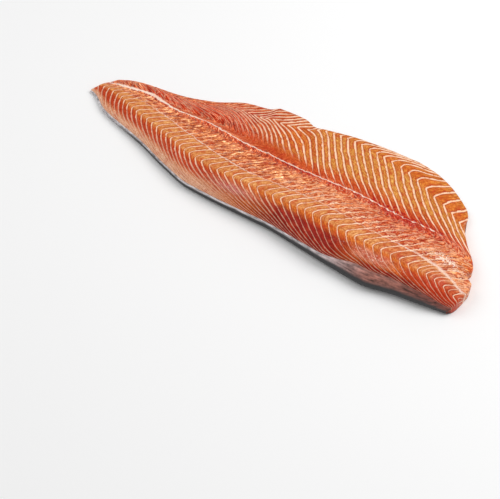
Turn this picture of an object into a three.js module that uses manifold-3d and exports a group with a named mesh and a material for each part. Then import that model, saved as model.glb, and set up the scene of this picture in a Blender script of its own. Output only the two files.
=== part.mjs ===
// A whole side of raw salmon, lying skin down with its cut flesh up.
// Millimetres, +Z up. +X runs from the tail to the head end, +Y from the back to the belly.
// The origin is under the middle of the side, on the surface that it lies on.
import * as THREE from "three";
import Module from "manifold-3d";

// Driving dimensions
const LENGTH = 500;
const WIDTH = 178;
const THICKNESS = 31;

// Muscle flakes: the septa between them are this far apart along the side
const FLAKE_AT_MIDDLE = 9.9;
const FLAKE_GROWTH = 0.0036; // more pitch for each millimetre towards the head
const COLUMNS_PER_FLAKE = 2;
const GROOVE_DEPTH = 0.8; // along a septum
const SPINE_TROUGH = 1.6; // along the line where the backbone lay
const SPINE_TROUGH_WIDTH = 9;

// Widths of loin and belly that have the full sweep of a septum
const FULL_LOIN = 54;
const FULL_BELLY = 84;
const HEAD_MARGIN = 82; // columns start beyond the cut ends, and sweep back from the head's
const TAIL_MARGIN = 20;

// Rows of the cross-section run from -1 at the back, by 0 at the spine, to 1 at the belly.
// The loin's ridge lies on this row, and grooves fade out on the steep slope below it.
const RIDGE_ROW = -0.66;
const GROOVE_FADE = [-1, -0.8];
const SLOPE_ROWS = 8;
const LOIN_ROWS = 9;
const BELLY_ROWS = 12;

// The cut ends thin out over these distances, by these shares
const HEAD_TAPER = 34;
const HEAD_TAPER_DROP = 0.28;
const TAIL_TAPER = 30;
const TAIL_TAPER_DROP = 0.3;

// A smooth curve through [place, value] points, given as shares of two dimensions.
// It has no overshoot, and is flat beyond its ends.
function curve(along, across, shares) {
  const points = shares.map(([place, value]) => [place * along, value * across]);
  const last = points.length - 1;
  const slopes = points.slice(1).map(([x, y], i) => (y - points[i][1]) / (x - points[i][0]));
  const tangents = points.map((_, i) => {
    const before = slopes[i - 1] ?? 0;
    const after = slopes[i] ?? 0;
    return before * after > 0 ? (2 * before * after) / (before + after) : 0;
  });
  return (place) => {
    if (place <= points[0][0]) return points[0][1];
    if (place >= points[last][0]) return points[last][1];
    const i = points.findIndex(([x]) => x > place) - 1;
    const step = points[i + 1][0] - points[i][0];
    const t = (place - points[i][0]) / step;
    const rise = t * t * (3 - 2 * t);
    const leave = t * (1 - t) * (1 - t) * step * tangents[i];
    const arrive = t * t * (t - 1) * step * tangents[i + 1];
    return points[i][1] + (points[i + 1][1] - points[i][1]) * rise + leave + arrive;
  };
}

// Outlines and lines seen from above: share of the length, share of the width
const backEdge = curve(LENGTH, WIDTH, [
  [-0.5, -0.062], [-0.43, -0.168], [-0.31, -0.266], [-0.22, -0.357], [-0.148, -0.412], [-0.05, -0.423],
  [0.044, -0.424], [0.147, -0.456], [0.226, -0.483], [0.3, -0.5], [0.36, -0.467], [0.43, -0.441], [0.5, -0.41],
]);
const bellyEdge = curve(LENGTH, WIDTH, [
  [-0.5, 0.06], [-0.468, 0.115], [-0.435, 0.156], [-0.4, 0.178], [-0.31, 0.208], [-0.228, 0.275], [-0.16, 0.371],
  [-0.104, 0.4], [-0.084, 0.436], [-0.018, 0.443], [0.008, 0.421], [0.036, 0.44], [0.12, 0.484], [0.21, 0.5],
  [0.25, 0.5], [0.298, 0.478], [0.341, 0.432], [0.378, 0.374], [0.42, 0.29], [0.5, 0.2],
]);
const spineLine = curve(LENGTH, WIDTH, [
  [-0.5, 0.066], [-0.43, 0.074], [-0.366, 0.095], [-0.28, 0.057], [-0.2, 0.06], [-0.09, 0.024],
  [0.06, 0.014], [0.19, 0.027], [0.3, 0.007], [0.368, 0.017], [0.43, 0.002], [0.5, -0.03],
]);
const ridgeLine = curve(LENGTH, WIDTH, [
  [-0.5, 0.01], [-0.443, -0.01], [-0.384, -0.068], [-0.273, -0.158], [-0.183, -0.236], [-0.139, -0.262],
  [-0.08, -0.279], [0.05, -0.281], [0.14, -0.277], [0.25, -0.3], [0.4, -0.314], [0.5, -0.34],
]);
// How far the skin bulges out past the edge of the flesh along the back
const skinBulge = curve(LENGTH, WIDTH, [
  [-0.5, 0.01], [0.12, 0.008], [0.19, 0.008], [0.228, 0.026], [0.28, 0.062], [0.32, 0.06], [0.38, 0.042],
  [0.5, 0.02],
]);

// The cut ends, and the plain line that the ragged head cut follows: share of the width, share of the length
const headCut = curve(WIDTH, LENGTH, [
  [-0.5, 0.43], [-0.44, 0.466], [-0.41, 0.481], [-0.36, 0.492], [-0.235, 0.5], [-0.2, 0.498], [-0.178, 0.486],
  [-0.15, 0.478], [-0.107, 0.485], [-0.044, 0.477], [0.067, 0.445], [0.154, 0.426], [0.21, 0.417], [0.243, 0.418],
  [0.336, 0.402], [0.5, 0.38],
]);
const headLine = curve(WIDTH, LENGTH, [[-0.45, 0.47], [-0.25, 0.5], [0.067, 0.45], [0.25, 0.416], [0.5, 0.38]]);
const tailCut = curve(WIDTH, LENGTH, [
  [-0.5, -0.503], [-0.062, -0.5], [-0.02, -0.491], [0.035, -0.483], [0.09, -0.47], [0.5, -0.4],
]);

// Heights: share of the length, share of the thickness
const ridgeHeight = curve(LENGTH, THICKNESS, [
  [-0.5, 0.36], [-0.38, 0.5], [-0.22, 0.72], [-0.06, 0.92], [0.12, 1], [0.28, 0.99], [0.42, 0.9], [0.5, 0.8],
]);
const spineHeight = curve(LENGTH, THICKNESS, [
  [-0.5, 0.28], [-0.38, 0.38], [-0.22, 0.53], [-0.06, 0.66], [0.12, 0.71], [0.28, 0.69], [0.42, 0.62], [0.5, 0.55],
]);
const backHeight = curve(LENGTH, THICKNESS, [
  [-0.5, 0.18], [-0.38, 0.24], [-0.22, 0.3], [-0.06, 0.36], [0.08, 0.42], [0.22, 0.6], [0.3, 0.68], [0.42, 0.6],
  [0.5, 0.45],
]);
const bellyHeight = curve(LENGTH, THICKNESS, [
  [-0.5, 0.16], [-0.2, 0.2], [-0.05, 0.27], [0.02, 0.2], [0.2, 0.22], [0.4, 0.3],
]);
const BELLY_FALL = 1.25; // the belly thins slowly first, then faster

// Where the belly's septa turn back, as a share of the belly's width, and the share of their sweep
// that they make before it. Then they run back at a slope, with a hook for each square millimetre.
const bellyTurn = curve(LENGTH, 1, [
  [-0.3, 0.78], [-0.12, 0.7], [-0.06, 0.68], [-0.018, 0.76], [0.03, 0.96], [0.08, 0.93], [0.146, 0.85],
  [0.249, 0.73], [0.341, 0.59], [0.4, 0.56],
]);
const bellyReach = curve(LENGTH, 1, [
  [-0.3, 1], [0.2, 1.02], [0.3, 0.92], [0.35, 0.965], [0.4, 1.1], [0.42, 1.23],
]);
const bellyReturn = curve(LENGTH, 1, [
  [-0.2, 1], [0, 0.9], [0.1, 0.6], [0.15, 0.6], [0.25, 0.2], [0.33, 0.35], [0.4, 0.38],
]);
const bellyHook = curve(LENGTH, 1, [[0, 0], [0.15, 0.009], [0.25, 0.0033], [0.33, 0.0005], [0.4, 0]]);

const smoothstep = THREE.MathUtils.smoothstep;
const lerp = THREE.MathUtils.lerp;

// Straight stretches through [place, value] points, for places from 0 to 1.
function bent(points) {
  return (place) => {
    const i = Math.max(1, points.findIndex(([end]) => end >= Math.min(place, 1)));
    const [from, low] = points[i - 1];
    const [to, high] = points[i];
    return lerp(low, high, (place - from) / (to - from));
  };
}

// How far a septum moves along the side: from the spine to the loin's ridge, from there down the slope,
// and from the spine to its turn in the belly. Less than 0 is towards the tail.
const loinSweep = bent([[0, 0], [0.08, 4], [0.15, 5], [0.24, 2], [0.7, -24], [1, -43]]);
const slopeSweep = bent([[0, 0], [0.1, 4], [0.22, 10], [0.4, 20], [1, 46]]);
const bellySweep = bent([[0, 0], [0.1, -8], [0.3, -22], [0.7, -43.5], [1, -58]]);

// The way round the loin's steep slope, from 0 at the ridge to 1 at the edge of the flesh.
function slopeShare(row) {
  return Math.max(0, (row - RIDGE_ROW) / (-1 - RIDGE_ROW));
}

function planAt(x, row) {
  const spine = spineLine(x);
  if (row >= 0) return lerp(spine, bellyEdge(x), row);
  if (row >= RIDGE_ROW) return lerp(spine, ridgeLine(x), row / RIDGE_ROW);
  return lerp(ridgeLine(x), backEdge(x) + skinBulge(x), Math.sin((slopeShare(row) * Math.PI) / 2));
}

function heightAt(x, row) {
  const spine = spineHeight(x);
  if (row >= 0) return lerp(spine, bellyHeight(x), row ** BELLY_FALL);
  if (row >= RIDGE_ROW) return lerp(spine, ridgeHeight(x), Math.sin(((row / RIDGE_ROW) * Math.PI) / 2));
  return lerp(backHeight(x), ridgeHeight(x), Math.cos((slopeShare(row) * Math.PI) / 2));
}

// How much of the full height is left beside the cut ends.
function endTaper(x, y) {
  const head = 1 - smoothstep(headLine(y) - x, 0, HEAD_TAPER);
  const tail = 1 - smoothstep(x - tailCut(y), 0, TAIL_TAPER);
  return 1 - HEAD_TAPER_DROP * head ** 2 - TAIL_TAPER_DROP * tail ** 2;
}

// How far a septum has moved along the side, at this row, from where it crosses the spine.
function sweepAt(x, row) {
  if (row >= 0) {
    const width = bellyEdge(x) - spineLine(x);
    const turn = bellyTurn(x);
    const past = Math.max(0, row - turn) * width;
    const back = bellyReturn(x) * past + bellyHook(x) * past ** 3;
    return ((bellyReach(x) * width) / FULL_BELLY) * bellySweep(Math.min(1, row / turn)) + back;
  }
  const share = (spineLine(x) - ridgeLine(x)) / FULL_LOIN;
  return share * (loinSweep(Math.min(1, row / RIDGE_ROW)) + slopeSweep(slopeShare(row)));
}

// Septa are numbered along the spine, from 0 at the middle. Their pitch grows steadily towards the head.
function septumAt(x) {
  return Math.log(1 + (FLAKE_GROWTH * x) / FLAKE_AT_MIDDLE) / FLAKE_GROWTH;
}

function crossingOf(septum) {
  return (FLAKE_AT_MIDDLE / FLAKE_GROWTH) * (Math.exp(FLAKE_GROWTH * septum) - 1);
}

// A point of the flesh on the line that crosses the spine at start, found in a few steps along its sweep.
const SWEEP_STEPS = 30;
const SWEEP_STEP = 0.7;
const EDGE_SHARPNESS = 8;
function fleshPoint(start, row, onSeptum) {
  let x = start;
  for (let step = 0; step < SWEEP_STEPS; step++) x = lerp(x, start + sweepAt(x, row), SWEEP_STEP);
  const y = planAt(x, row);
  const fade = row < 0 ? smoothstep(row, ...GROOVE_FADE) : 1 - row ** EDGE_SHARPNESS;
  const groove = onSeptum ? GROOVE_DEPTH * fade : 0;
  const trough = SPINE_TROUGH * Math.exp(-(((y - spineLine(x)) / SPINE_TROUGH_WIDTH) ** 2));
  const lean = (slopeShare(row) * Math.PI) / 2;
  const height = heightAt(x, row) * endTaper(x, y) - trough;
  return [x, y + groove * Math.sin(lean), height - groove * Math.cos(lean)];
}

// The skin: down the belly's edge, flat along the underside, and up round the back.
const BELLY_LIP = [[0.2, 0.45], [1.2, 0.12], [4, 0]]; // inwards in mm, share of the edge's height
const BACK_FOOT = [[10.5, 0], [2.8, 0.1]];
const BACK_WALL = [[0, 0.35], [0.3, 0.7]]; // share of the bulge, share of the flesh edge's height
function skinPoints([bellyX, bellyY, bellyZ], [backX, backY, backZ]) {
  const outermost = backEdge(backX);
  return [
    ...BELLY_LIP.map(([inwards, share]) => [bellyX, bellyY - inwards, share * bellyZ]),
    ...BACK_FOOT.map(([inwards, share]) => [backX, outermost + inwards, share * backZ]),
    ...BACK_WALL.map(([inwards, share]) => [backX, lerp(outermost, backY, inwards), share * backZ]),
  ];
}

function rowList() {
  const between = (from, to, count) => Array.from({ length: count }, (_, i) => lerp(from, to, i / count));
  return [
    ...between(-1, RIDGE_ROW, SLOPE_ROWS),
    ...between(RIDGE_ROW, 0, LOIN_ROWS),
    ...between(0, 1, BELLY_ROWS),
    1,
  ];
}

// Closed rings round the side, somewhat longer than it, with every second one down in a septum.
function longSide() {
  const rows = rowList();
  const first = Math.floor(septumAt(-LENGTH / 2 - TAIL_MARGIN));
  const last = Math.ceil(septumAt(LENGTH / 2 + HEAD_MARGIN));
  const columns = (last - first) * COLUMNS_PER_FLAKE + 1;
  return Array.from({ length: columns }, (_, column) => {
    const start = crossingOf(first + column / COLUMNS_PER_FLAKE);
    const flesh = rows.map((row) => fleshPoint(start, row, column % COLUMNS_PER_FLAKE === 0));
    return [...flesh, ...skinPoints(flesh.at(-1), flesh[0])];
  });
}

const wasm = await Module();
wasm.setup();

function solidOf(corners, triangles) {
  const vertProperties = new Float32Array(corners.flat());
  const triVerts = new Uint32Array(triangles.flat());
  return new wasm.Manifold(new wasm.Mesh({ numProp: 3, vertProperties, triVerts }));
}

// A solid through the rings, with a flat fan at each end.
function loft(rings) {
  const count = rings[0].length;
  const last = rings.length - 1;
  const at = (ring, i) => ring * count + (i % count);
  const triangles = [];
  for (let ring = 0; ring < last; ring++) {
    for (let i = 0; i < count; i++) {
      triangles.push([at(ring, i), at(ring + 1, i), at(ring + 1, i + 1)]);
      triangles.push([at(ring, i), at(ring + 1, i + 1), at(ring, i + 1)]);
    }
  }
  for (let i = 1; i < count - 1; i++) {
    triangles.push([at(0, 0), at(0, i), at(0, i + 1)]);
    triangles.push([at(last, 0), at(last, i + 1), at(last, i)]);
  }
  return solidOf(rings.flat(), triangles);
}

// Everything between the two cuts, seen from above, as an upright block.
const CUT_STEPS = 48;
const CUT_REACH = 0.6; // share of the width, past both edges
function betweenCuts() {
  const reach = CUT_REACH * WIDTH;
  const steps = Array.from({ length: CUT_STEPS + 1 }, (_, i) => lerp(-reach, reach, i / CUT_STEPS));
  const head = steps.map((y) => new THREE.Vector2(headCut(y), y));
  const tail = steps.map((y) => new THREE.Vector2(tailCut(y), y)).reverse();
  const outline = new THREE.Shape([...head, ...tail]);
  const block = new THREE.ExtrudeGeometry(outline, { depth: 3 * THICKNESS, bevelEnabled: false });
  block.translate(0, 0, -THICKNESS);
  return weld(block);
}

// The solid of a geometry whose triangles don't share their corners yet.
function weld(geometry) {
  const position = geometry.getAttribute("position");
  const numbers = new Map();
  const corners = [];
  const triangles = [];
  for (let i = 0; i < position.count; i++) {
    const corner = [position.getX(i), position.getY(i), position.getZ(i)];
    const key = corner.join();
    if (!numbers.has(key)) {
      numbers.set(key, corners.length);
      corners.push(corner);
    }
    triangles.push(numbers.get(key));
  }
  return solidOf(corners, triangles);
}

function geometryOf(solid) {
  const mesh = solid.getMesh();
  const geometry = new THREE.BufferGeometry();
  geometry.setAttribute("position", new THREE.BufferAttribute(mesh.vertProperties, 3));
  geometry.setIndex(new THREE.BufferAttribute(mesh.triVerts, 1));
  geometry.computeVertexNormals();
  return geometry;
}

const flesh = new THREE.MeshStandardMaterial({ color: 0xd9713c, roughness: 0.4, metalness: 0 });
const fillet = new THREE.Mesh(geometryOf(loft(longSide()).intersect(betweenCuts())), flesh);
fillet.name = "fillet";

const side = new THREE.Group();
side.add(fillet);
export default side;
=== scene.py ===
# A whole side of raw salmon, skin down, with its flakes, septa and skin. Metres, in the solid's frame.
# +X runs from the tail to the head end, +Y from the back to the belly.
import math

import bpy
import numpy as np
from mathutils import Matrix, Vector
from mathutils.geometry import delaunay_2d_cdt


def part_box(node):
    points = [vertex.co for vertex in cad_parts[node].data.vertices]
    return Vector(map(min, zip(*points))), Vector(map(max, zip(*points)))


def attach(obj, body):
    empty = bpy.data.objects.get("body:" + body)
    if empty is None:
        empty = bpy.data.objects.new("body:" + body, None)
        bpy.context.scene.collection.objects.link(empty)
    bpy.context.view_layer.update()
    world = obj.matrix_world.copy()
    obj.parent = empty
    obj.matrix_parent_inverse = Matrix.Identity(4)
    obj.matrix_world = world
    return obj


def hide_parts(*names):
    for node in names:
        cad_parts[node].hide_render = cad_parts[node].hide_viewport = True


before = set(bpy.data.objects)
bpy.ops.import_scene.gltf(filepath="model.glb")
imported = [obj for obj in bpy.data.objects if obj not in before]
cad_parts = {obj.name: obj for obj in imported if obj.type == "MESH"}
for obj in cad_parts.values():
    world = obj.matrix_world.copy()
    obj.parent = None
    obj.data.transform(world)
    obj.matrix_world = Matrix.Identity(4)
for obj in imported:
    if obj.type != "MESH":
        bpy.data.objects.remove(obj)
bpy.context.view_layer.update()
LOW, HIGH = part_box("fillet")
LENGTH, WIDTH, THICKNESS = HIGH - LOW
MM = 0.001

# Rows of a ring run from -1 at the back, by 0 at the spine, to 1 at the belly's edge. Then the skin follows.
RIDGE_ROW = -0.66
SLOPE_ROWS, LOIN_ROWS, BELLY_ROWS = 28, 48, 64
LIP_ROWS, UNDER_ROWS, FOOT_ROWS, WALL_ROWS = 8, 5, 5, 14
WALL_START = 1 - WALL_ROWS / (LIP_ROWS + UNDER_ROWS + FOOT_ROWS + WALL_ROWS)
COLUMNS = 470
END_COLUMNS = np.array([0.25, 0.6, 1.1, 1.7]) * MM

# Forms of the cross-section and of the cut ends
BELLY_FALL = 1.25
HEAD_TAPER, HEAD_TAPER_DROP = 34 * MM, 0.28
TAIL_TAPER, TAIL_TAPER_DROP = 30 * MM, 0.3
SPINE_TROUGH, SPINE_TROUGH_WIDTH = 1.6 * MM, 9 * MM
LIP_REACH, FOOT_REACH, WALL_WAIST = 4 * MM, 10.5 * MM, 0.35
CUT_ROUND, CUT_ROUND_SHARE = 2.5 * MM, 0.3
RIM_ROUND = 2.2 * MM
FLAKE_CROWN, CROWN_SHARE, CROWN_REACH = 0.55 * MM, 0.12, 2.2 * MM
END_FADE = 6 * MM
CUT_FLAKE, CUT_PITCH = 11 * MM, 9 * MM

# Points inside a cut end: steps to find its edge, distance between points, their jitter and its seed
CUT_STEPS, CUT_SPACING, CUT_JITTER, CUT_SEED = 60, 2.2 * MM, (0.3, 0.2), 11
TRIANGLES_INSIDE, SAME_POINT = 1, 1e-7

# Layers of noise: how strong, cell along and across the side, and seed.
# Septa wander, and the flesh is uneven in height and rough in tone.
WANDER = [(0.16, 38 * MM, 30 * MM, 1), (0.07, 13 * MM, 11 * MM, 2)]
UNEVEN = [(0.45 * MM, 21 * MM, 15 * MM, 3), (0.225 * MM, 8 * MM, 7 * MM, 4)]
ROUGH = [(1, 9 * MM, 7 * MM, 5)]

# Where the flesh, the skin and the two cut ends lie on the bake map
MAP_ACROSS = (0.004, 0.996)
FLESH_STRIP, SKIN_STRIP = (0.004, 0.7), (0.712, 0.92)
CUT_STRIP_UP, CUT_STRIP_WIDTH = (0.93, 0.995), 0.36
CUT_STRIPS = {-1: 0.05, 1: 0.55}

# Septa: their distance along the spine, its growth towards the head, and the widths with the full sweep
FLAKE_AT_MIDDLE, FLAKE_GROWTH = 9.9 * MM, 0.0036
FULL_LOIN, FULL_BELLY = 54 * MM, 84 * MM

# The camera: its turn and lift in degrees, what it looks at, how far off it is, and its lens
CAMERA_TURN, CAMERA_LIFT = 31.0, 55
CAMERA_TARGET, CAMERA_DISTANCE = Vector((26.1, -106.2, 0)) * MM, 1253.3 * MM
CAMERA_LENS, CAMERA_SENSOR = 85, 36

# Half of the floor's side
FLOOR_HALF = 2.0

# Noise in the materials: its cells in a metre, along x, y and z for the streaks
BROAD_CELLS, BLOOD_CELLS, SPECK_CELLS, GRIT_CELLS = 150.0, 260.0, 620.0, 700.0
CLOUD_CELLS, SCALE_CELLS, STREAK_CELLS = 70.0, 380.0, (90.0, 420.0, 520.0)


def lerp(start, end, share):
    return start + (end - start) * share


def smoothstep(value, low, high):
    share = np.clip((value - low) / (high - low), 0, 1)
    return share * share * (3 - 2 * share)


def curve(along, across, shares):
    """A smooth curve through (place, value) points, with no overshoot, and flat beyond its ends."""
    places, values = np.array(shares, dtype=float).T * np.array([[along], [across]])
    slopes = np.diff(values) / np.diff(places)
    tangents = np.zeros(len(places))
    for i, (before, after) in enumerate(zip(slopes, slopes[1:]), start=1):
        if before * after > 0:
            tangents[i] = 2 * before * after / (before + after)

    def at(place):
        place = np.clip(place, places[0], places[-1])
        i = np.clip(np.searchsorted(places, place, side="right") - 1, 0, len(places) - 2)
        step = places[i + 1] - places[i]
        share = (place - places[i]) / step
        leave = share * (1 - share) ** 2 * step * tangents[i]
        arrive = share * share * (share - 1) * step * tangents[i + 1]
        return lerp(values[i], values[i + 1], share * share * (3 - 2 * share)) + leave + arrive

    return at


def bent(points):
    """Straight stretches through (place, value in mm) points."""
    places, values = np.array(points, dtype=float).T
    return lambda place: np.interp(place, places, values * MM)


def noise(u, v, seed):
    """Smooth seeded noise from -1 to 1, with cells of one unit."""
    cells = 256
    lattice = np.random.default_rng(seed).uniform(-1, 1, (cells, cells))
    i, j = np.floor(u).astype(int), np.floor(v).astype(int)
    s, t = smoothstep(u - i, 0, 1), smoothstep(v - j, 0, 1)

    def corner(right, up):
        return lattice[(i + right) % cells, (j + up) % cells]

    return lerp(lerp(corner(0, 0), corner(1, 0), s), lerp(corner(0, 1), corner(1, 1), s), t)


def layered_noise(x, y, layers):
    return sum(strength * noise(x / along, y / across, seed) for strength, along, across, seed in layers)


# Outlines and lines seen from above: share of the length, share of the width
back_edge = curve(LENGTH, WIDTH, [
    (-0.5, -0.062), (-0.43, -0.168), (-0.31, -0.266), (-0.22, -0.357), (-0.148, -0.412), (-0.05, -0.423),
    (0.044, -0.424), (0.147, -0.456), (0.226, -0.483), (0.3, -0.5), (0.36, -0.467), (0.43, -0.441),
    (0.5, -0.41)])
belly_edge = curve(LENGTH, WIDTH, [
    (-0.5, 0.06), (-0.468, 0.115), (-0.435, 0.156), (-0.4, 0.178), (-0.31, 0.208), (-0.228, 0.275),
    (-0.16, 0.371), (-0.104, 0.4), (-0.084, 0.436), (-0.018, 0.443), (0.008, 0.421), (0.036, 0.44),
    (0.12, 0.484), (0.21, 0.5), (0.25, 0.5), (0.298, 0.478), (0.341, 0.432), (0.378, 0.374), (0.42, 0.29),
    (0.5, 0.2)])
spine_line = curve(LENGTH, WIDTH, [
    (-0.5, 0.066), (-0.43, 0.074), (-0.366, 0.095), (-0.28, 0.057), (-0.2, 0.06), (-0.09, 0.024),
    (0.06, 0.014), (0.19, 0.027), (0.3, 0.007), (0.368, 0.017), (0.43, 0.002), (0.5, -0.03)])
second_line = curve(LENGTH, WIDTH, [
    (-0.45, 0.03), (-0.382, 0.003), (-0.326, -0.02), (-0.248, -0.077), (-0.114, -0.172), (-0.03, -0.203),
    (0.139, -0.19), (0.275, -0.213), (0.362, -0.217), (0.413, -0.233), (0.5, -0.29)])
ridge_line = curve(LENGTH, WIDTH, [
    (-0.5, 0.01), (-0.443, -0.01), (-0.384, -0.068), (-0.273, -0.158), (-0.183, -0.236), (-0.139, -0.262),
    (-0.08, -0.279), (0.05, -0.281), (0.14, -0.277), (0.25, -0.3), (0.4, -0.314), (0.5, -0.34)])
skin_bulge = curve(LENGTH, WIDTH, [
    (-0.5, 0.01), (0.12, 0.008), (0.19, 0.008), (0.228, 0.026), (0.28, 0.062), (0.32, 0.06), (0.38, 0.042),
    (0.5, 0.02)])

# The cut ends: share of the width, share of the length
head_cut = curve(WIDTH, LENGTH, [
    (-0.5, 0.43), (-0.44, 0.466), (-0.41, 0.481), (-0.36, 0.492), (-0.235, 0.5), (-0.2, 0.498),
    (-0.178, 0.486), (-0.15, 0.478), (-0.107, 0.485), (-0.044, 0.477), (0.067, 0.445), (0.154, 0.426),
    (0.21, 0.417), (0.243, 0.418), (0.336, 0.402), (0.5, 0.38)])
head_line = curve(WIDTH, LENGTH, [(-0.45, 0.47), (-0.25, 0.5), (0.067, 0.45), (0.25, 0.416), (0.5, 0.38)])
tail_cut = curve(WIDTH, LENGTH, [
    (-0.5, -0.503), (-0.062, -0.5), (-0.02, -0.491), (0.035, -0.483), (0.09, -0.47), (0.5, -0.4)])

# Heights: share of the length, share of the thickness
ridge_height = curve(LENGTH, THICKNESS, [
    (-0.5, 0.36), (-0.38, 0.5), (-0.22, 0.72), (-0.06, 0.92), (0.12, 1), (0.28, 0.99), (0.42, 0.9),
    (0.5, 0.8)])
spine_height = curve(LENGTH, THICKNESS, [
    (-0.5, 0.28), (-0.38, 0.38), (-0.22, 0.53), (-0.06, 0.66), (0.12, 0.71), (0.28, 0.69), (0.42, 0.62),
    (0.5, 0.55)])
back_height = curve(LENGTH, THICKNESS, [
    (-0.5, 0.18), (-0.38, 0.24), (-0.22, 0.3), (-0.06, 0.36), (0.08, 0.42), (0.22, 0.6), (0.3, 0.68),
    (0.42, 0.6), (0.5, 0.45)])
belly_height = curve(LENGTH, THICKNESS, [
    (-0.5, 0.16), (-0.2, 0.2), (-0.05, 0.27), (0.02, 0.2), (0.2, 0.22), (0.4, 0.3)])

# The sweep of a septum, in mm towards the head: from the spine to the ridge, down the slope, and to its turn
loin_sweep = bent([
    (0, 0), (0.08, 4), (0.15, 5), (0.24, 2), (0.7, -24), (0.9, -36.7), (0.96, -39.5), (1, -40.5)])
slope_sweep = bent([
    (0, 0), (0.04, 0.3), (0.1, 2.5), (0.22, 8), (0.4, 20), (0.6, 37), (0.8, 58), (1, 82)])
slope_reach = curve(LENGTH, 1, [(-0.1, 1), (0.15, 0.75), (0.35, 0.55)])
belly_sweep = bent([(0, 0), (0.1, -8), (0.3, -22), (0.7, -43.5), (1, -58)])
# The turn in the belly, as a share of its width, the reach before it, and the slope and hook beyond it
belly_turn = curve(LENGTH, 1, [
    (-0.3, 0.78), (-0.12, 0.7), (-0.06, 0.68), (-0.018, 0.76), (0.03, 0.96), (0.08, 0.93), (0.146, 0.85),
    (0.249, 0.73), (0.341, 0.59), (0.4, 0.56)])
belly_reach = curve(LENGTH, 1, [
    (-0.3, 1), (0.2, 1.02), (0.3, 0.92), (0.35, 0.965), (0.4, 1.1), (0.42, 1.23)])
belly_return = curve(LENGTH, 1, [
    (-0.2, 1.5), (-0.05, 1.7), (0.03, 1.5), (0.1, 0.7), (0.15, 0.6), (0.25, 0.2), (0.33, 0.35), (0.4, 0.38)])
belly_hook = curve(LENGTH, MM ** -2, [(0, 0), (0.15, 0.009), (0.25, 0.0033), (0.33, 0.0005), (0.4, 0)])
# Towards the tail, how much farther the septa lean over between the spine and the turn, in mm
belly_lean = curve(LENGTH, MM, [
    (-0.45, 0), (-0.35, 10), (-0.25, 28), (-0.16, 43), (-0.1, 36), (-0.03, 18), (0.05, 6), (0.1, 0)])


def slope_share(row):
    return np.clip((row - RIDGE_ROW) / (-1 - RIDGE_ROW), 0, 1)


def by_row(row, belly, loin, slope):
    return np.where(row >= 0, belly, np.where(row >= RIDGE_ROW, loin, slope))


def plan_at(x, row):
    spine, ridge = spine_line(x), ridge_line(x)
    belly = lerp(spine, belly_edge(x), np.clip(row, 0, 1))
    loin = lerp(spine, ridge, np.clip(row / RIDGE_ROW, 0, 1))
    slope = lerp(ridge, back_edge(x) + skin_bulge(x), np.sin(slope_share(row) * np.pi / 2))
    return by_row(row, belly, loin, slope)


def end_taper(x, y):
    head = 1 - smoothstep(head_line(y) - x, 0, HEAD_TAPER)
    tail = 1 - smoothstep(x - tail_cut(y), 0, TAIL_TAPER)
    return 1 - HEAD_TAPER_DROP * head ** 2 - TAIL_TAPER_DROP * tail ** 2


def rounding(distance, radius):
    """How far a rounded edge has dropped, at this distance from it."""
    inside = np.clip(radius - distance, 0, radius)
    return radius - np.sqrt(radius ** 2 - inside ** 2)


def height_at(x, row):
    """The smooth top of the flesh, rounded at the cut ends and at the belly's rim."""
    y = plan_at(x, row)
    spine, ridge = spine_height(x), ridge_height(x)
    belly = lerp(spine, belly_height(x), np.clip(row, 0, 1) ** BELLY_FALL)
    loin = lerp(spine, ridge, np.sin(np.clip(row / RIDGE_ROW, 0, 1) * np.pi / 2))
    slope = lerp(back_height(x), ridge, np.cos(slope_share(row) * np.pi / 2))
    height = by_row(row, belly, loin, slope) * end_taper(x, y)
    height = height - SPINE_TROUGH * np.exp(-((y - spine_line(x)) / SPINE_TROUGH_WIDTH) ** 2)
    radius = np.minimum(CUT_ROUND, CUT_ROUND_SHARE * height)
    cut = rounding(np.minimum(head_cut(y) - x, x - tail_cut(y)), radius)
    return height - np.maximum(cut, rounding(belly_edge(x) - y, np.minimum(RIM_ROUND, radius)))


def septum_at(x, row):
    """Septa are numbered along the side: each lies on a whole number. They wander a little."""
    width = belly_edge(x) - spine_line(x)
    turn = belly_turn(x)
    share = np.clip(row, 0, 1)
    past = np.maximum(share - turn, 0) * width
    back = belly_return(x) * past + belly_hook(x) * past ** 3
    lean = belly_lean(x) * smoothstep(share, 0, 0.12) * (1 - np.minimum(share / turn, 1) ** 3)
    belly = belly_reach(x) * width / FULL_BELLY * belly_sweep(share / turn) + back + lean
    loin = loin_sweep(np.clip(row / RIDGE_ROW, 0, 1)) + slope_reach(x) * slope_sweep(slope_share(row))
    sweep = np.where(row >= 0, belly, loin * (spine_line(x) - ridge_line(x)) / FULL_LOIN)
    number = np.log(1 + FLAKE_GROWTH * (x - sweep) / FLAKE_AT_MIDDLE) / FLAKE_GROWTH
    return number + layered_noise(x, plan_at(x, row), WANDER)


# The skin: round the belly's lip, flat along the underside, and up the back. Share runs from 0 to 1 on each.
def lip_point(x, share):
    turn = share * np.pi / 2
    return belly_edge(x) - LIP_REACH * (1 - np.cos(turn)), height_at(x, 1.0) * (1 - np.sin(turn))


def under_point(x, share):
    return lerp(belly_edge(x) - LIP_REACH, back_edge(x) + FOOT_REACH, share), 0 * x


def foot_point(x, share):
    turn = share * np.pi / 2
    waist = WALL_WAIST * height_at(x, -1.0)
    return back_edge(x) + FOOT_REACH * (1 - np.sin(turn)), waist * (1 - np.cos(turn))


def wall_point(x, share):
    turn = share * np.pi / 2
    return (back_edge(x) + skin_bulge(x) * (1 - np.cos(turn)),
            height_at(x, -1.0) * lerp(WALL_WAIST, 1, np.sin(turn)))


def flesh_point(x, row):
    return plan_at(x, row), height_at(x, row)


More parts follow.
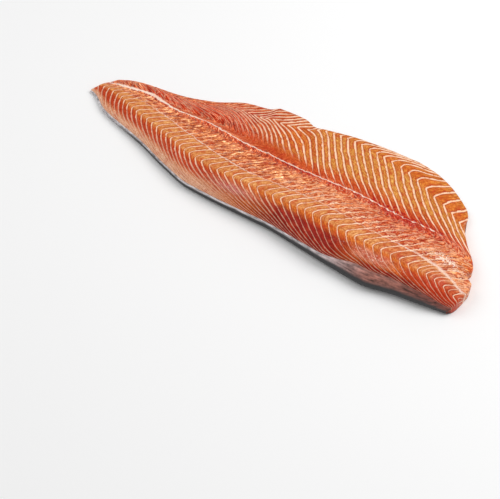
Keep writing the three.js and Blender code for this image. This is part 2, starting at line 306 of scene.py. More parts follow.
def ring_rows():
    """The rows round the side, each as a function of x and its place on it."""
    flesh = np.concatenate([
        np.linspace(-1, RIDGE_ROW, SLOPE_ROWS, endpoint=False),
        np.linspace(RIDGE_ROW, 0, LOIN_ROWS, endpoint=False),
        np.linspace(0, 1, BELLY_ROWS + 1)])
    rows = [(flesh_point, row) for row in flesh]
    for point, count in ((lip_point, LIP_ROWS), (under_point, UNDER_ROWS), (foot_point, FOOT_ROWS)):
        rows += [(point, (i + 1) / count) for i in range(count)]
    rows += [(wall_point, (i + 1) / WALL_ROWS) for i in range(WALL_ROWS - 1)]
    return flesh, rows


def row_end(point, place, cut, start):
    """Where a row meets a cut, found by going half of the way to it in each step."""
    x = np.array(start)
    for _ in range(CUT_STEPS):
        x = lerp(x, cut(point(x, place)[0]), 0.5)
    return float(x)


def column_shares():
    """Columns along each row, closer together beside the cut ends."""
    near = END_COLUMNS / LENGTH
    return np.unique(np.concatenate([np.linspace(0, 1, COLUMNS), near, 1 - near]))


def ring_grid(rows, shares):
    """x, y and z of every row and column on the smooth side."""
    grid = np.empty((3, len(rows), len(shares)))
    for i, (point, place) in enumerate(rows):
        tail = row_end(point, place, tail_cut, -LENGTH / 2)
        head = row_end(point, place, head_cut, LENGTH / 2)
        x = lerp(tail, head, shares)
        grid[0, i] = x
        grid[1, i], grid[2, i] = point(x, place)
    return grid


def pitch_of(grid, septum):
    """The distance between septa at right angles to them, at every point of the flesh, in metres."""
    def on_cells(values):
        along = np.diff(values, axis=-1)
        across = np.diff(values, axis=-2)
        return (along[..., 1:, :] + along[..., :-1, :]) / 2, (across[..., 1:] + across[..., :-1]) / 2

    along, across = on_cells(grid)
    septum_along, septum_across = on_cells(septum)
    metric = (along * along).sum(0), (along * across).sum(0), (across * across).sum(0)
    area = metric[0] * metric[2] - metric[1] ** 2
    steep = septum_along ** 2 * metric[2] - 2 * septum_along * septum_across * metric[1]
    steep = np.sqrt(np.maximum(steep + septum_across ** 2 * metric[0], 0) / area)
    padded = np.pad(steep, 1, mode="edge")
    return 4 / (padded[1:, 1:] + padded[:-1, 1:] + padded[1:, :-1] + padded[:-1, :-1])


def add_relief(grid, row, septum, pitch):
    """Crowns the flakes between the septa, and makes the flesh slightly uneven."""
    x, y, z = grid
    off = np.abs(septum - np.round(septum)) * pitch
    crown = np.minimum(FLAKE_CROWN, CROWN_SHARE * pitch) * smoothstep(off, 0, CROWN_REACH)
    ends = np.minimum(head_cut(y) - x, x - tail_cut(y))
    fade = smoothstep(ends, 0, END_FADE) * smoothstep(row, -1, -0.9) * smoothstep(1 - row, 0, 0.08)
    rise = (crown - FLAKE_CROWN + layered_noise(x, y, UNEVEN)) * fade
    lean = slope_share(row) * np.pi / 2
    y -= rise * np.sin(lean)
    z += rise * np.cos(lean)


# Colours of the flesh and the skin, and of the shade, shadow, sheen and glints painted on them, as a screen
# shows them
def paint(red, green, blue):
    screen = np.array([red, green, blue]) / 255
    return np.where(screen <= 0.04045, screen / 12.92, ((screen + 0.055) / 1.055) ** 2.4)


CORAL = paint(212, 94, 42)
GOLD = paint(220, 148, 68)
AMBER = paint(220, 114, 36)
SCARLET = paint(200, 60, 28)
RED = paint(190, 42, 22)
TAN = paint(230, 154, 90)
ROSE_TAN = paint(219, 120, 66)
CREAM = paint(255, 204, 160)
MAROON = paint(160, 34, 20)
ROSE = paint(219, 130, 102)
SHELL = paint(255, 204, 170)
# A painted sheen: a pale mauve patch that stands for light reflected off the wet slope.
MAUVE_SHEEN = paint(212, 134, 126)
SEPTUM = paint(255, 214, 180)
# White of fat, also used for painted glints.
FAT_AND_GLINTS = paint(255, 230, 212)
# Painted shade: darker, redder flesh beside the septa, as if shaded in their grooves.
SHADE_BESIDE_SEPTA = paint(222, 150, 112)
BLOOD = paint(176, 24, 14)
SILVER = paint(214, 206, 208)
PEWTER = paint(170, 110, 96)
UMBER = paint(116, 58, 48)
# Nearly black: a painted contact shadow along the foot of the skin.
SHADOW_SLATE = paint(26, 24, 28)


def band(value, low, high, soft):
    """1 between low and high and 0 beyond them, with soft edges."""
    return smoothstep(value, low - soft, low + soft) * (1 - smoothstep(value, high - soft, high + soft))


def patch(along, across, centre, reach):
    """A soft oval spot, 1 at its centre."""
    return np.exp(-((along - centre[0]) / reach[0]) ** 2 - ((across - centre[1]) / reach[1]) ** 2)


def lay_over(tone, zones):
    """Lays zones of colour over a tone, each with its amount at every point."""
    for colour, amount in zones:
        tone = lerp(tone, colour, np.clip(amount, 0, 1)[..., None])
    return tone


def share_to_second(x, y):
    """0 on the spine and 1 on the line beside it."""
    return (spine_line(x) - y) / (spine_line(x) - second_line(x))


def flesh_tones(x, y, row):
    """The colour of the flesh between the septa, by zones laid over each other. One zone is a painted sheen.
    """
    along, across = x / LENGTH, y / WIDTH
    rough = layered_noise(x, y, ROUGH)
    blotchy = 0.7 + 0.3 * rough
    turn = belly_turn(x)
    loin = np.clip(row / RIDGE_ROW, 0, 1)
    to_second = share_to_second(x, y)
    slope = slope_share(row)
    belly = row >= 0
    head = smoothstep(along, -0.12, 0.1)
    tail = 1 - smoothstep(along, -0.14, 0)
    rim = smoothstep(row, 0.75, 0.95)
    zones = [
        (GOLD, belly * head * smoothstep(row, 0.08, 0.3)),
        (AMBER, belly * head * 0.8 * smoothstep(row - turn, -0.1, 0.04) * (1 - 0.6 * rim)),
        (SCARLET, belly * 0.85 * band(along, -0.4, -0.08, 0.05) * band(row, 0.1, 0.8, 0.12)),
        (AMBER, belly * 0.6 * band(along, -0.1, 0.06, 0.05) * band(row, 0.3, 0.7, 0.12)),
        (SCARLET, belly * 0.55 * (1 - smoothstep(row, 0.02, 0.16)) * (0.6 + 0.4 * rough)),
        (ROSE_TAN, ~belly * band(to_second, 0.2, 1, 0.15) * (0.8 + 0.2 * rough)),
        (SCARLET, ~belly * 0.8 * (1 - smoothstep(to_second, 0, 0.45)) * blotchy),
        (TAN, ~belly * smoothstep(to_second, 0.9, 1.1) * (1 - slope)),
        (SCARLET, 0.75 * patch(along, row, (0.3, -0.3), (0.09, 0.17)) * blotchy),
        (SCARLET, 0.7 * patch(along, row, (0.35, -0.6), (0.035, 0.16)) * blotchy),
        (RED, 0.9 * patch(along, row, (0.31, -0.06), (0.09, 0.1)) * blotchy),
        (AMBER, smoothstep(slope, 0.02, 0.1) * 0.9),
        (SCARLET, 0.8 * tail * band(slope, 0.12, 0.5, 0.1)),
        (SHELL, tail * smoothstep(slope, 0.4, 0.75)),
        (MAROON, band(along, 0.02, 0.26, 0.06) * smoothstep(slope, 0.1, 0.34)),
        # Painted sheen: a pale mauve patch on the slope in place of a reflection on the wet flesh.
        (MAUVE_SHEEN, patch(along, slope, (-0.045, 0.38), (0.05, 0.18))),
        (ROSE, band(along, 0.26, 0.34, 0.02) * band(slope, 0.2, 0.6, 0.1)),
        (SCARLET, 0.8 * smoothstep(along, 0.34, 0.38) * band(slope, 0.2, 0.7, 0.1)),
        (MAROON, smoothstep(along, 0.25, 0.3) * smoothstep(slope, 0.55, 0.75)),
        (SCARLET, 0.8 * smoothstep(along, 0.39, 0.44) * smoothstep(loin, 0.78, 0.95)),
        (AMBER, 0.8 * patch(along, across, (0.465, -0.09), (0.025, 0.09))),
    ]
    return lay_over(CORAL, zones)


# White lines: share of the length, half of the line's width in mm or how much of it is white
spine_half = curve(LENGTH, 1, [
    (-0.5, 0.6), (-0.46, 1.1), (-0.42, 1.8), (-0.35, 2.1), (-0.29, 1.1), (-0.2, 0.6), (0.1, 0.65),
    (0.22, 0.6), (0.3, 0.5), (0.4, 0.4)])
spine_fat = curve(LENGTH, 1, [
    (-0.5, 0.5), (-0.44, 1), (-0.3, 1), (-0.2, 0.9), (0.12, 0.9), (0.24, 0.5), (0.32, 0.3), (0.41, 0.1)])
second_half = curve(LENGTH, 1, [(-0.4, 0.3), (-0.2, 0.5), (0.28, 0.5), (0.36, 1), (0.42, 1.8), (0.5, 1.2)])
second_fat = curve(LENGTH, 1, [
    (-0.42, 0), (-0.3, 0.7), (-0.1, 0.8), (0.05, 0.5), (0.28, 0.4), (0.36, 0.7), (0.46, 0.7)])
bead_fat = curve(LENGTH, 1, [(-0.22, 0), (-0.1, 0.3), (0.1, 0.5), (0.2, 1), (0.37, 1), (0.41, 0)])


def septum_looks(x, y, row, pitch):
    """Half of the width of the white line on a septum, in mm, and how much of it is white."""
    along = x / LENGTH
    slope = slope_share(row)
    head = smoothstep(along, -0.2, -0.02)
    front = smoothstep(along, 0, 0.16)
    to_second = share_to_second(x, y)
    corner = smoothstep(along, 0.38, 0.43) * (row < -0.4)
    beyond = smoothstep(row - belly_turn(x), -0.3, -0.05)
    belly_fat = np.maximum(lerp(0.2, 1, head), 0.85 * beyond * smoothstep(along, -0.25, -0.1))
    leaning = np.clip(belly_lean(x) / (12 * MM), 0, 1)
    belly_fat = belly_fat * smoothstep(row, 0.13 * leaning, lerp(0.12, 0.34, leaning))
    belly_half = lerp(0.6, 0.95, head) * lerp(0.6, 1, smoothstep(row, 0, 0.3))
    loin_fat = smoothstep(to_second, lerp(0.5, 0.2, front), lerp(1.05, 0.9, front))
    slope_fat = lerp(0.95, lerp(0.5, 0.4, front), smoothstep(slope, 0.05, 0.4))
    slope_half = np.minimum(lerp(0.7, 0.45, front), 0.17 * pitch / MM)
    half = by_row(row, belly_half, lerp(0.5, 0.62, front), slope_half)
    return lerp(half, 0.42, corner), np.clip(by_row(row, belly_fat, loin_fat, slope_fat), 0, 1)


def flesh_looks(x, y, row, septum, pitch):
    """What the flesh's material needs to know at each point. Distances are in mm."""
    along = x / LENGTH
    front = smoothstep(along, 0, 0.16)
    middle = band(share_to_second(x, y), -0.05, 0.95, 0.12) * (row < 0.06)
    loose = (row >= 0) * (1 - smoothstep(along, -0.2, -0.02))
    septum_half, septum_fat = septum_looks(x, y, row, pitch)
    flecks_and_glints = patch(along, row, (0.432, -0.33), (0.035, 0.07))
    flecks_and_glints = flecks_and_glints + 0.6 * patch(along, row, (0.3, -0.78), (0.07, 0.06))
    blood = patch(along, row, (0.31, -0.01), (0.11, 0.1))
    blood = blood + 0.6 * patch(along, row, (0.08, -0.03), (0.16, 0.05))
    blood = blood + 0.5 * patch(along, row, (0.3, -0.25), (0.09, 0.14))
    crease = patch(along, row, (-0.085, 0.78), (0.03, 0.03))
    return {
        "septum": septum,
        "pitch": np.clip(pitch / MM, 0.8, 20),
        "septum_half": septum_half,
        "septum_fat": septum_fat,
        "wander": np.clip(0.7 * MM / pitch, 0.05, 0.25) + 0.4 * middle,
        "fine": 0.6 * smoothstep(along, 0.36, 0.42) * band(row, -0.68, -0.5, 0.05),
        "spine_off": (y - spine_line(x)) / MM,
        "spine_half": spine_half(x),
        "spine_fat": spine_fat(x),
        "second_off": (y - second_line(x)) / MM,
        "second_half": second_half(x),
        "second_fat": second_fat(x),
        "bead": bead_fat(x),
        # The patches are white flecks in the flesh; the part laid over the middle zone is painted glints of
        # a wet surface.
        "flecks_and_glints": flecks_and_glints + 0.25 * middle,
        "blood": blood + crease,
        "grain": np.clip(0.5 + 0.5 * middle + 0.4 * loose, 0, 1),
        "fuzz": np.clip(0.12 + middle * lerp(0.88, 0.35, front) + 0.6 * loose, 0, 1),
        "strand": np.clip(middle * lerp(0.3, 0.8, front) + 0.5 * loose - 0.7 * blood, 0, 1),
        "across": y / MM,
    }


def skin_tones(x, share_up):
    """Silver along the tail's rim and under the belly, and partly as a painted highlight where the
    brown-grey of the thick back begins. Dark at the foot: a painted contact shadow.
    """
    along = x / LENGTH
    up = (share_up - WALL_START) / (1 - WALL_START)
    # The brown-grey begins late, so the back's skin stays silver a little way past the middle. That silver
    # is partly the skin's own colour and partly a painted highlight.
    thick = smoothstep(along, 0.14, 0.32)
    zones = [
        (PEWTER, thick * smoothstep(share_up, 0.05, 0.3)),
        (UMBER, 0.8 * smoothstep(along, 0.33, 0.44) * smoothstep(share_up, 0.05, 0.3)),
        # Painted contact shadow: the low part of the skin wall turns nearly black, as if shaded where it
        # meets the surface below.
        (SHADOW_SLATE, smoothstep(along, -0.46, -0.3) * band(up, -0.9, lerp(0.5, 0.36, thick), 0.14)),
    ]
    return lay_over(SILVER, zones)


def cut_face(ring, top_count, cut):
    """Points inside a cut end, their depth and its triangles. Ring holds its corners, the flesh's first."""
    y, z = ring[1], ring[2]
    top, under = slice(0, top_count), slice(top_count, len(y) - WALL_ROWS + 1)
    rng = np.random.default_rng(CUT_SEED)
    inner = []
    for across in np.arange(y[0] + CUT_SPACING, y[top_count - 1] - CUT_SPACING, CUT_SPACING):
        roof = np.interp(across, y[top], z[top])
        floor = np.interp(across, y[under][::-1], z[under][::-1])
        for up in np.arange(floor + CUT_SPACING / 2, roof - CUT_SPACING / 2, CUT_SPACING):
            shift = [rng.uniform(-jitter, jitter) * CUT_SPACING for jitter in CUT_JITTER]
            inner.append((across + shift[0], up + shift[1]))
    corners = [Vector(corner) for corner in zip(y, z)] + [Vector(corner) for corner in inner]
    edges = [(i, (i + 1) % len(y)) for i in range(len(y))]
    _, _, faces, sources, _, _ = delaunay_2d_cdt(corners, edges, [], TRIANGLES_INSIDE, SAME_POINT)
    if any(len(source) != 1 for source in sources):
        raise ValueError("the cut end crosses itself")
    numbers = [source[0] for source in sources]
    inner = np.array(inner)
    points = np.array([cut(inner[:, 0]), inner[:, 0], inner[:, 1]])
    depth = np.interp(inner[:, 0], y[top], z[top]) - inner[:, 1]
    return points, depth, [[numbers[i] for i in face] for face in faces]


def new_object(name, corners, faces):
    mesh = bpy.data.meshes.new(name)
    mesh.from_pydata(corners, [], faces)
    piece = bpy.data.objects.new(name, mesh)
    bpy.context.scene.collection.objects.link(piece)
    return piece


def store(mesh, name, values):
    """Keeps one number or one colour for each vertex."""
    values = np.asarray(values, dtype=np.float32)
    if values.ndim == 1:
        mesh.attributes.new(name, "FLOAT", "POINT").data.foreach_set("value", values)
    else:
        colours = np.concatenate([values, np.ones((len(values), 1), np.float32)], axis=1)
        mesh.attributes.new(name, "FLOAT_COLOR", "POINT").data.foreach_set("color", colours.ravel())


def ring_map(shares, top, count):
    """Where each corner of the ring's faces lies on the bake map: the flesh, and the skin above it."""
    flesh_up = lerp(*FLESH_STRIP, np.linspace(0, 1, top))
    skin_up = lerp(*SKIN_STRIP, np.linspace(0, 1, count - top + 2))
    low = np.concatenate([flesh_up[:-1], skin_up[:-1]])
    high = np.concatenate([flesh_up[1:], skin_up[1:]])
    along = lerp(*MAP_ACROSS, shares)
    left, low = np.meshgrid(along[:-1], low)
    right, high = np.meshgrid(along[1:], high)
    corners = [(left, low), (right, low), (right, high), (left, high)]
    return np.stack([np.stack(corner, axis=-1) for corner in corners], axis=2).reshape(-1, 2)


def cut_map(corners, outwards):
    """Where the corners of a cut end's triangles lie on the bake map."""
    across = (corners[:, 1] + WIDTH / 2) / WIDTH
    up = corners[:, 2] / THICKNESS
    start = CUT_STRIPS[outwards]
    return np.stack([lerp(start, start + CUT_STRIP_WIDTH, across), lerp(*CUT_STRIP_UP, up)], axis=-1)


def ring_squares(number):
    """The faces between neighbouring rows and columns."""
    below = np.roll(number, -1, axis=0)
    squares = np.stack([number[:, :-1], number[:, 1:], below[:, 1:], below[:, :-1]], axis=-1)
    return squares.reshape(-1, 4).tolist()


def dress_ring(grid, flesh):
    """Adds the relief to the flesh's rows. Returns what the materials need at every corner of the ring."""
    top = len(flesh)
    count, columns = grid.shape[1:]
    row = np.repeat(flesh[:, None], columns, axis=1)
    x, y = grid[0, :top].copy(), grid[1, :top].copy()
    septum = septum_at(x, row)
    pitch = pitch_of(grid[:, :top], septum)
    looks = flesh_looks(x, y, row, septum, pitch)
    tones = flesh_tones(x, y, row)
    add_relief(grid[:, :top], row, septum, pitch)
    skin_corners = (count - top) * columns
    values = {name: np.pad(value.ravel(), (0, skin_corners)) for name, value in looks.items()}
    values["flesh_tone"] = np.pad(tones.reshape(-1, 3), ((0, skin_corners), (0, 0)))
    share_up = np.concatenate([[1], np.zeros(top - 1), np.linspace(0, 1, count - top)])
    values["skin_tone"] = skin_tones(grid[0].ravel(), np.repeat(share_up, columns))
    return values


def dress_cut(points, depth, row):
    """What the materials need at points inside a cut end, which shows flesh alone."""
    x, y = points[:2]
    septum = septum_at(x, row) + depth / CUT_FLAKE
    values = flesh_looks(x, y, row, septum, np.full(row.shape, CUT_PITCH))
    values["flesh_tone"] = flesh_tones(x, y, row)
    values["skin_tone"] = np.zeros_like(points.T)
    return values


def finish_mesh(mesh, skin_faces, map_places):
    """Gives the faces their materials, smooth shading and places on the bake map."""
    slots = np.zeros(len(mesh.polygons), np.int32)
    slots[skin_faces] = 1
    mesh.materials.append(flesh_material())
    mesh.materials.append(skin_material())
    mesh.polygons.foreach_set("material_index", slots)
    mesh.polygons.foreach_set("use_smooth", np.ones(len(slots), bool))
    uv = mesh.uv_layers.new(name="OFBake")
    uv.data.foreach_set("uv", map_places.ravel().astype(np.float32))


def build_fillet():
    flesh, rows = ring_rows()
    shares = column_shares()
    grid = ring_grid(rows, shares)
    top, count, columns = len(flesh), len(rows), len(shares)
    dressed = [dress_ring(grid, flesh)]
    number = np.arange(count * columns).reshape(count, columns)
    places = grid.reshape(3, -1).T
    faces = ring_squares(number)
    skin_faces = slice((top - 1) * (columns - 1), len(faces))
    map_places = [ring_map(shares, top, count)]
    for column, cut, outwards in ((0, tail_cut, -1), (columns - 1, head_cut, 1)):
        points, depth, triangles = cut_face(grid[:, :, column], top, cut)
        names = number[:, column].tolist() + list(range(len(places), len(places) + len(depth)))
        end_faces = [[names[i] for i in face[::outwards]] for face in triangles]
        faces += end_faces
        places = np.concatenate([places, points.T])
        dressed.append(dress_cut(points, depth, np.interp(points[1], grid[1, :top, column], flesh)))
        map_places.append(cut_map(places[np.concatenate(end_faces)], outwards))

    piece = new_object("fillet_body", places.tolist(), faces)
    for name in dressed[0]:
        store(piece.data, name, np.concatenate([values[name] for values in dressed]))
    finish_mesh(piece.data, skin_faces, np.concatenate(map_places))
    return piece


class Nodes:
    """Adds nodes to a material and links them."""

    def __init__(self, name):
        self.material = bpy.data.materials.new(name)
        self.material.use_nodes = True
        self.tree = self.material.node_tree
        self.shader = self.tree.nodes["Principled BSDF"]

    def put(self, socket, value):
        if isinstance(value, bpy.types.NodeSocket):
            self.tree.links.new(value, socket)
        else:
            socket.default_value = value

    def add(self, kind, inputs, output=0, **settings):
        node = self.tree.nodes.new(kind)
        for name, value in settings.items():
            setattr(node, name, value)
        for name, value in inputs.items():
            self.put(node.inputs[name], value)
        return node.outputs[output]

    def attribute(self, name, output="Fac"):
        return self.add("ShaderNodeAttribute", {}, output, attribute_name=name)

    def math(self, operation, *values, clamp=False):
        return self.add("ShaderNodeMath", dict(enumerate(values)), operation=operation, use_clamp=clamp)

    def times(self, first, *others):
        for other in others:
            first = self.math("MULTIPLY", first, other)
        return first

    def plus(self, first, *others):
        for other in others:
            first = self.math("ADD", first, other)
        return first

    def noise(self, vector, scale, detail=2.0):
        return self.add("ShaderNodeTexNoise", {"Vector": vector, "Scale": scale, "Detail": detail})

    def step(self, value, low, high, start=0.0, end=1.0):
        inputs = {"Value": value, "From Min": low, "From Max": high, "To Min": start, "To Max": end}
        return self.add("ShaderNodeMapRange", inputs, interpolation_type="SMOOTHSTEP")

    def mix(self, amount, first, second, blend="MIX"):
        node = self.tree.nodes.new("ShaderNodeMix")
        node.data_type = "RGBA"
        node.blend_type = blend
        self.put(node.inputs["Factor"], amount)
        self.put(node.inputs[6], first)
        self.put(node.inputs[7], second)
        return node.outputs[2]

    def vector(self, x, y, z):
        return self.add("ShaderNodeCombineXYZ", {"X": x, "Y": y, "Z": z})

    def place(self):
        return self.add("ShaderNodeTexCoord", {}, "Object")

    def bump(self, height, strength, distance):
        return self.add("ShaderNodeBump", {"Height": height, "Strength": strength, "Distance": distance})


def solid(colour):
    return (*[float(part) for part in colour], 1.0)


def line_mask(nodes, off, half, soft=0.45):
    """1 on a line and 0 beside it, from the distance to it and half of its width."""
    inner = nodes.math("MULTIPLY", half, 1 - soft)
    outer = nodes.math("MULTIPLY", half, 1 + soft)
    return nodes.step(off, inner, outer, 1.0, 0.0)


def centred_noise(nodes, scale, detail=2.0, stretch=(1.0, 1.0, 1.0)):
    vector = nodes.add("ShaderNodeMapping", {"Vector": nodes.place(), "Scale": stretch})
    return nodes.plus(nodes.noise(vector, scale, detail), -0.5)


def along_septa(nodes, flow, cells, cells_across, detail):
    """Noise drawn out along the septa: its cells in a flake, and in a mm across the side."""
    across = nodes.times(nodes.attribute("across"), cells_across)
    return nodes.plus(nodes.noise(nodes.vector(nodes.times(flow, cells), across, cells), 1.0, detail), -0.5)


def brighten(nodes, tone, light):
    return nodes.mix(1.0, tone, nodes.vector(light, light, light), "MULTIPLY")


def enrich(nodes, tone, change):
    """Lightens a tone or deepens it. Deeper flesh is redder, not greyer."""
    factors = [nodes.math("POWER", base, change) for base in (1.6, 2.7, 3.8)]
    return nodes.mix(1.0, tone, nodes.vector(*factors), "MULTIPLY")


def fat_and_glint_marks(nodes, off, broad, grit, patchy):
    """White fat: along the spine and the line beside it, in beads where septa meet the spine, in specks.
    Some specks are painted glints.
    """
    wobble = nodes.plus(nodes.times(broad, 4.5), nodes.times(grit, 2.5))
    spine_off = nodes.plus(nodes.attribute("spine_off"), wobble)
    spine = line_mask(nodes, nodes.math("ABSOLUTE", spine_off), nodes.attribute("spine_half"), 0.5)
    spine = nodes.times(spine, nodes.attribute("spine_fat"), nodes.math("SQRT", patchy))
    second_off = nodes.plus(nodes.attribute("second_off"), wobble)
    second = line_mask(nodes, nodes.math("ABSOLUTE", second_off), nodes.attribute("second_half"), 0.7)
    second = nodes.times(second, nodes.attribute("second_fat"), patchy)
    bead_up = nodes.times(spine_off, 0.7)
    bead_off = nodes.times(off, 0.6)
    bead_far = nodes.math("SQRT", nodes.plus(nodes.times(bead_up, bead_up), nodes.times(bead_off, bead_off)))
    bead_far = nodes.plus(bead_far, nodes.times(grit, 1.5), nodes.times(broad, 1.5))
    bead = nodes.times(nodes.step(bead_far, 0.5, 1.0, 1.0, 0.0), nodes.attribute("bead"))
    # Specks: white flecks, and over the middle zone painted glints.
    flecks_and_glints = nodes.attribute("flecks_and_glints")
    specks = nodes.plus(nodes.noise(nodes.place(), SPECK_CELLS, 3.0), nodes.times(flecks_and_glints, 0.16))
    speck = nodes.times(nodes.step(specks, 0.64, 0.74), flecks_and_glints)
    lines = nodes.math("MAXIMUM", spine, second)
    return nodes.math("MAXIMUM", lines, nodes.math("MAXIMUM", bead, speck), clamp=True)


def septum_lines(nodes, broad, grit, patchy):
    """White lines on the septa and midway between them, a band for painted shade on the flesh beside them,
    and the distance to a septum.
    """
    pitch = nodes.attribute("pitch")
    fat = nodes.attribute("septum_fat")
    wander = nodes.times(nodes.plus(nodes.times(broad, 1.6), grit), nodes.attribute("wander"))
    septum = nodes.plus(nodes.attribute("septum"), wander)
    off = nodes.times(nodes.math("PINGPONG", septum, 0.5), pitch)
    half = nodes.times(nodes.attribute("septum_half"), nodes.step(broad, -0.2, 0.2, 0.75, 1.2))
    line = nodes.times(line_mask(nodes, off, half), fat, patchy)
    fine_off = nodes.times(nodes.math("PINGPONG", nodes.times(septum, 2.0), 0.5), pitch, 0.5)
    fine_half = nodes.math("MINIMUM", 0.4, nodes.times(pitch, 0.08))
    fine = nodes.times(line_mask(nodes, fine_off, fine_half), nodes.attribute("fine"), patchy)
    # Mask of the painted shade beside each line, where the groove at the septum lies.
    beside = nodes.times(line_mask(nodes, off, nodes.times(half, 2.3), 0.5), fat)
    return nodes.math("MAXIMUM", line, fine), beside, off


def blood_marks(nodes):
    """Red blotches, where blood has seeped into the flesh."""
    seeped = nodes.attribute("blood")
    blotch = nodes.plus(seeped, nodes.times(centred_noise(nodes, BLOOD_CELLS), 4.5))
    return nodes.times(nodes.step(blotch, 0.75, 1.05), nodes.step(seeped, 0.1, 0.4), 0.95)


def flesh_material():
    nodes = Nodes("flesh")
    broad = centred_noise(nodes, BROAD_CELLS)
    grit = centred_noise(nodes, GRIT_CELLS, 3.0)
    grain = nodes.attribute("grain")
    fuzz = nodes.attribute("fuzz")
    strand = nodes.attribute("strand")
    patchy = nodes.step(nodes.plus(grit, nodes.times(broad, 0.8)), -0.3, 0.05, 0.4, 1.0)
    line, beside, off = septum_lines(nodes, broad, grit, patchy)
    # White fat marks, with painted glints among the specks.
    fat = fat_and_glint_marks(nodes, off, broad, grit, patchy)

    number = nodes.attribute("septum")
    flow = nodes.plus(number, nodes.times(broad, nodes.attribute("wander")))
    fibre = along_septa(nodes, flow, 6.0, 0.28, 5.0)
    threads = along_septa(nodes, flow, 4.5, 0.15, 4.0)
    veins = along_septa(nodes, flow, 2.1, 0.13, 2.0)
    vein = nodes.times(nodes.step(nodes.math("ABSOLUTE", veins), 0.015, 0.06, 1.0, 0.0), strand, patchy)
    flake = nodes.add("ShaderNodeTexWhiteNoise", {"W": nodes.math("FLOOR", number)}, noise_dimensions="1D")

    change = nodes.plus(-0.38, nodes.times(fibre, grain, 6.5), nodes.times(threads, fuzz, 10.0))
    gritty = nodes.plus(1.2, nodes.times(fuzz, 2.4))
    change = nodes.plus(change, nodes.times(grit, gritty), nodes.times(flake, 0.3))
    tone = enrich(nodes, nodes.attribute("flesh_tone", "Color"), change)
    red = nodes.times(nodes.step(nodes.plus(broad, nodes.times(veins, strand)), 0.0, 0.16), 0.45)
    tone = nodes.mix(red, tone, solid(SCARLET))
    pale = nodes.times(nodes.step(nodes.plus(threads, nodes.times(grit, 0.5)), 0.12, 0.26), fuzz, 0.6)
    tone = nodes.mix(pale, tone, solid(CREAM))
    # Painted shade: the flesh beside each white line is darkened, as if shaded in the groove at the septum.
    tone = nodes.mix(nodes.times(beside, 0.7), tone, solid(SHADE_BESIDE_SEPTA), "MULTIPLY")
    tone = nodes.mix(blood_marks(nodes), tone, solid(BLOOD))
    tone = nodes.mix(nodes.times(vein, 0.75), tone, solid(CREAM))
    tone = nodes.mix(line, tone, solid(SEPTUM))
    # White fat, and painted glints where the specks lie over the middle zone.
    tone = nodes.mix(fat, tone, solid(FAT_AND_GLINTS))
    nodes.put(nodes.shader.inputs["Base Color"], tone)

    height = nodes.plus(nodes.times(fibre, grain, 0.6), nodes.times(threads, fuzz, 0.4), grit)
    height = nodes.plus(height, nodes.times(line, -0.3), nodes.times(fat, 0.4))
    nodes.put(nodes.shader.inputs["Normal"], nodes.bump(height, 0.5, 0.5 * MM))
    nodes.put(nodes.shader.inputs["Roughness"], nodes.step(grit, -0.25, 0.25, 0.3, 0.5))
    nodes.put(nodes.shader.inputs["Specular IOR Level"], 0.1)
    nodes.put(nodes.shader.inputs["Subsurface Weight"], 0.05)
    nodes.put(nodes.shader.inputs["Subsurface Radius"], (1.0, 0.35, 0.18))
    nodes.put(nodes.shader.inputs["Subsurface Scale"], 1.5 * MM)
    nodes.put(nodes.shader.inputs["Coat Weight"], 0.07)
    nodes.put(nodes.shader.inputs["Coat Roughness"], 0.15)
    return nodes.material


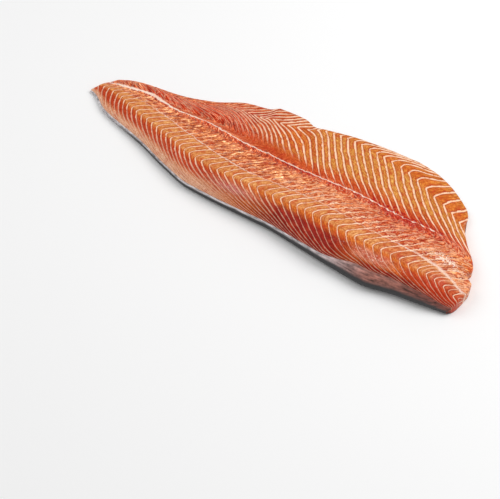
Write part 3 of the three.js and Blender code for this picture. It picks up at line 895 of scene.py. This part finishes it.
def skin_material():
    nodes = Nodes("skin")
    streak = centred_noise(nodes, 1.0, 4.0, STREAK_CELLS)
    cloud = centred_noise(nodes, CLOUD_CELLS, 3.0)
    scales = nodes.add("ShaderNodeTexVoronoi", {"Vector": nodes.place(), "Scale": SCALE_CELLS}, "Distance")
    light = nodes.plus(1.0, nodes.times(streak, 2.8), nodes.times(scales, -0.3), nodes.times(cloud, 0.8))
    tone = brighten(nodes, nodes.attribute("skin_tone", "Color"), light)
    nodes.put(nodes.shader.inputs["Base Color"], tone)
    nodes.put(nodes.shader.inputs["Metallic"], 0.15)
    nodes.put(nodes.shader.inputs["Roughness"], nodes.step(streak, -0.3, 0.3, 0.3, 0.48))
    nodes.put(nodes.shader.inputs["Coat Weight"], 0.2)
    nodes.put(nodes.shader.inputs["Coat Roughness"], 0.2)
    nodes.put(nodes.shader.inputs["Normal"], nodes.bump(nodes.plus(scales, streak), 0.35, 0.4 * MM))
    return nodes.material


def build_floor():
    corners = [(x * FLOOR_HALF, y * FLOOR_HALF, 0) for x, y in ((-1, -1), (1, -1), (1, 1), (-1, 1))]
    floor = new_object("floor", corners, [(0, 1, 2, 3)])
    nodes = Nodes("floor")
    nodes.put(nodes.shader.inputs["Base Color"], solid(paint(250, 250, 250)))
    nodes.put(nodes.shader.inputs["Roughness"], 0.9)
    floor.data.materials.append(nodes.material)


def aim(thing, place, target):
    thing.location = place
    thing.rotation_euler = (Vector(target) - Vector(place)).to_track_quat("-Z", "Y").to_euler()


def add_light(name, place, size, power):
    lamp = bpy.data.lights.new(name, "AREA")
    lamp.shape = "DISK"
    lamp.size = size
    lamp.energy = power
    thing = bpy.data.objects.new(name, lamp)
    bpy.context.scene.collection.objects.link(thing)
    aim(thing, place, (0, 0, 0))


def build_lights():
    add_light("key", (0.8, 0.7, 1.4), 1.2, 18)
    add_light("fill", (-1.2, -0.4, 1.6), 1.6, 9)
    world = bpy.data.worlds.new("studio")
    world.use_nodes = True
    background = world.node_tree.nodes["Background"]
    background.inputs["Color"].default_value = (1.0, 1.0, 1.0, 1.0)
    background.inputs["Strength"].default_value = 0.45
    bpy.context.scene.world = world
    bpy.context.scene.view_settings.view_transform = "Standard"


def build_camera():
    turn, lift = math.radians(CAMERA_TURN), math.radians(CAMERA_LIFT)
    back = Vector((math.sin(turn) * math.cos(lift), -math.cos(turn) * math.cos(lift), math.sin(lift)))
    camera = bpy.data.cameras.new("camera")
    camera.lens = CAMERA_LENS
    camera.sensor_width = CAMERA_SENSOR
    thing = bpy.data.objects.new("camera", camera)
    bpy.context.scene.collection.objects.link(thing)
    aim(thing, CAMERA_TARGET + back * CAMERA_DISTANCE, CAMERA_TARGET)
    bpy.context.scene.camera = thing


build_camera()
build_lights()
build_floor()
fillet = build_fillet()
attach(fillet, "root")
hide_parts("fillet")
